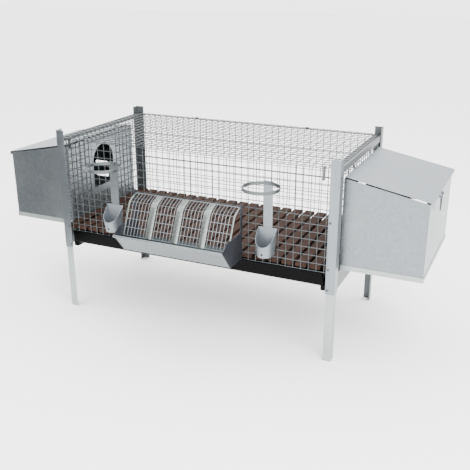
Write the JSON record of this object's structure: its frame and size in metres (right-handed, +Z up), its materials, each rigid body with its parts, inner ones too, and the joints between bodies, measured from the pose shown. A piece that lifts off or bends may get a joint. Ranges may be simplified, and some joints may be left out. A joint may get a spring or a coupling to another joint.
{
  "type": "wire rabbit cage with nest boxes",
  "caption": "Raised wire rabbit cage on angle legs with a hinged mesh roof, slatted floor over a pull-out tray, front feeder, bottle holders and a lidded metal nest box on each end.",
  "frame": {"origin": "middle of the overall box, on the ground under the feet", "axes": "+X to the cage's right seen from the front, -Y towards the feeder and the user, +Z up"},
  "size_m": [1.531, 0.6698, 0.655],
  "materials": {
    "galvanised_angle": "galvanised, satin grey",
    "zinc_plated_leg": "zinc plated, satin",
    "zinc_plated_fixings": "zinc plated, satin",
    "galvanised_wire": "galvanised welded wire",
    "galvanised_sheet": "galvanised sheet, soft sheen",
    "brown_plastic": "moulded, matt red-brown",
    "black_gloss_plastic": "moulded, glossy black",
    "black_plastic": "moulded, matt black"
  },
  "bodies": {
    "cage_frame": {"back_panel": "galvanised_wire", "bolt_back_left_1": "zinc_plated_fixings", "bolt_back_left_2": "zinc_plated_fixings", "bolt_back_left_3": "zinc_plated_fixings", "bolt_back_right_1": "zinc_plated_fixings", "bolt_back_right_2": "zinc_plated_fixings", "bolt_back_right_3": "zinc_plated_fixings", "bolt_front_left_1": "zinc_plated_fixings", "bolt_front_left_2": "zinc_plated_fixings", "bolt_front_left_3": "zinc_plated_fixings", "bolt_front_right_1": "zinc_plated_fixings", "bolt_front_right_2": "zinc_plated_fixings", "bolt_front_right_3": "zinc_plated_fixings", "bottle_cup_left": "galvanised_sheet", "bottle_cup_right": "galvanised_sheet", "bottle_ring_left": "galvanised_sheet", "bottle_ring_right": "galvanised_sheet", "bottle_strap_left": "galvanised_sheet", "bottle_strap_right": "galvanised_sheet", "end_panel_left": "galvanised_wire", "end_panel_right": "galvanised_wire", "feed_trough": "galvanised_sheet", "feeder_cheek_left": "galvanised_sheet", "feeder_cheek_right": "galvanised_sheet", "floor_bearer_back": "galvanised_angle", "floor_bearer_front": "galvanised_angle", "floor_rail_left": "galvanised_angle", "floor_rail_right": "galvanised_angle", "front_panel": "galvanised_wire", "leg_back_left": "zinc_plated_leg", "leg_back_right": "zinc_plated_leg", "leg_front_left": "zinc_plated_leg", "leg_front_right": "zinc_plated_leg", "nest_inner_wall_left": "galvanised_sheet", "nest_inner_wall_right": "galvanised_sheet", "nest_pan_left": "galvanised_sheet", "nest_pan_right": "galvanised_sheet", "nest_walls_left": "galvanised_sheet", "nest_walls_right": "galvanised_sheet", "post_back_left": "galvanised_angle", "post_back_right": "galvanised_angle", "post_front_left": "galvanised_angle", "post_front_right": "galvanised_angle", "roof_hinge_left": "zinc_plated_fixings", "roof_hinge_right": "zinc_plated_fixings", "top_rail_left": "galvanised_angle", "top_rail_right": "galvanised_angle", "tray_runner_left": "black_plastic", "tray_runner_right": "black_plastic"},
    "roof_lid": {"roof_panel": "galvanised_wire"},
    "floor_mat": {"slatted_floor_mat": "brown_plastic"},
    "dropping_tray": {"dropping_tray": "black_gloss_plastic"},
    "feeder_grille": {"feeder_grille": "galvanised_wire"},
    "lid_clip_left": {"lid_clip_left": "zinc_plated_fixings"},
    "lid_clip_right": {"lid_clip_right": "zinc_plated_fixings"},
    "nest_lid_left": {"nest_lid_left": "galvanised_sheet"},
    "nest_lid_right": {"nest_lid_right": "galvanised_sheet"},
    "nest_bail_left": {"nest_bail_left": "galvanised_wire"},
    "nest_bail_right": {"nest_bail_right": "galvanised_wire"}
  },
  "joints": [
    {"name": "roof_lid_hinge", "type": "hinge", "parent": "cage_frame", "child": "roof_lid", "pos_m": [0, 0.32361, 0.6293], "axis": [-1, 0, 0], "range_deg": [0, 100]},
    {"name": "lid_clip_swing_left", "type": "hinge", "parent": "roof_lid", "child": "lid_clip_left", "pos_m": [-0.45, -0.17639, 0.6293], "axis": [-1, 0, 0], "range_deg": [0, 100]},
    {"name": "lid_clip_swing_right", "type": "hinge", "parent": "roof_lid", "child": "lid_clip_right", "pos_m": [0.45, -0.17639, 0.6293], "axis": [-1, 0, 0], "range_deg": [0, 100]},
    {"name": "nest_lid_hinge_left", "type": "hinge", "parent": "cage_frame", "child": "nest_lid_left", "pos_m": [-0.5005, 0.07361, 0.5947], "axis": [0, 1, 0], "range_deg": [0, 95]},
    {"name": "nest_lid_hinge_right", "type": "hinge", "parent": "cage_frame", "child": "nest_lid_right", "pos_m": [0.5005, 0.07361, 0.5947], "axis": [0, -1, 0], "range_deg": [0, 95]},
    {"name": "nest_bail_swing_left", "type": "hinge", "parent": "nest_lid_left", "child": "nest_bail_left", "pos_m": [-0.76126, -0.00639, 0.538], "axis": [0, 1, 0], "range_deg": [-10, 100]},
    {"name": "nest_bail_swing_right", "type": "hinge", "parent": "nest_lid_right", "child": "nest_bail_right", "pos_m": [0.76126, -0.00639, 0.538], "axis": [0, -1, 0], "range_deg": [-10, 100]},
    {"name": "tray_slide", "type": "slide", "parent": "cage_frame", "child": "dropping_tray", "axis": [0, -1, 0], "range_m": [0, 0.42]},
    {"name": "feeder_grille_hinge", "type": "hinge", "parent": "cage_frame", "child": "feeder_grille", "pos_m": [0, -0.19039, 0.474], "axis": [-1, 0, 0], "range_deg": [0, 95]},
    {"name": "floor_mat_lift", "type": "slide", "parent": "cage_frame", "child": "floor_mat", "axis": [0, 0, -1], "range_m": [-0.2, 0]}
  ]
}
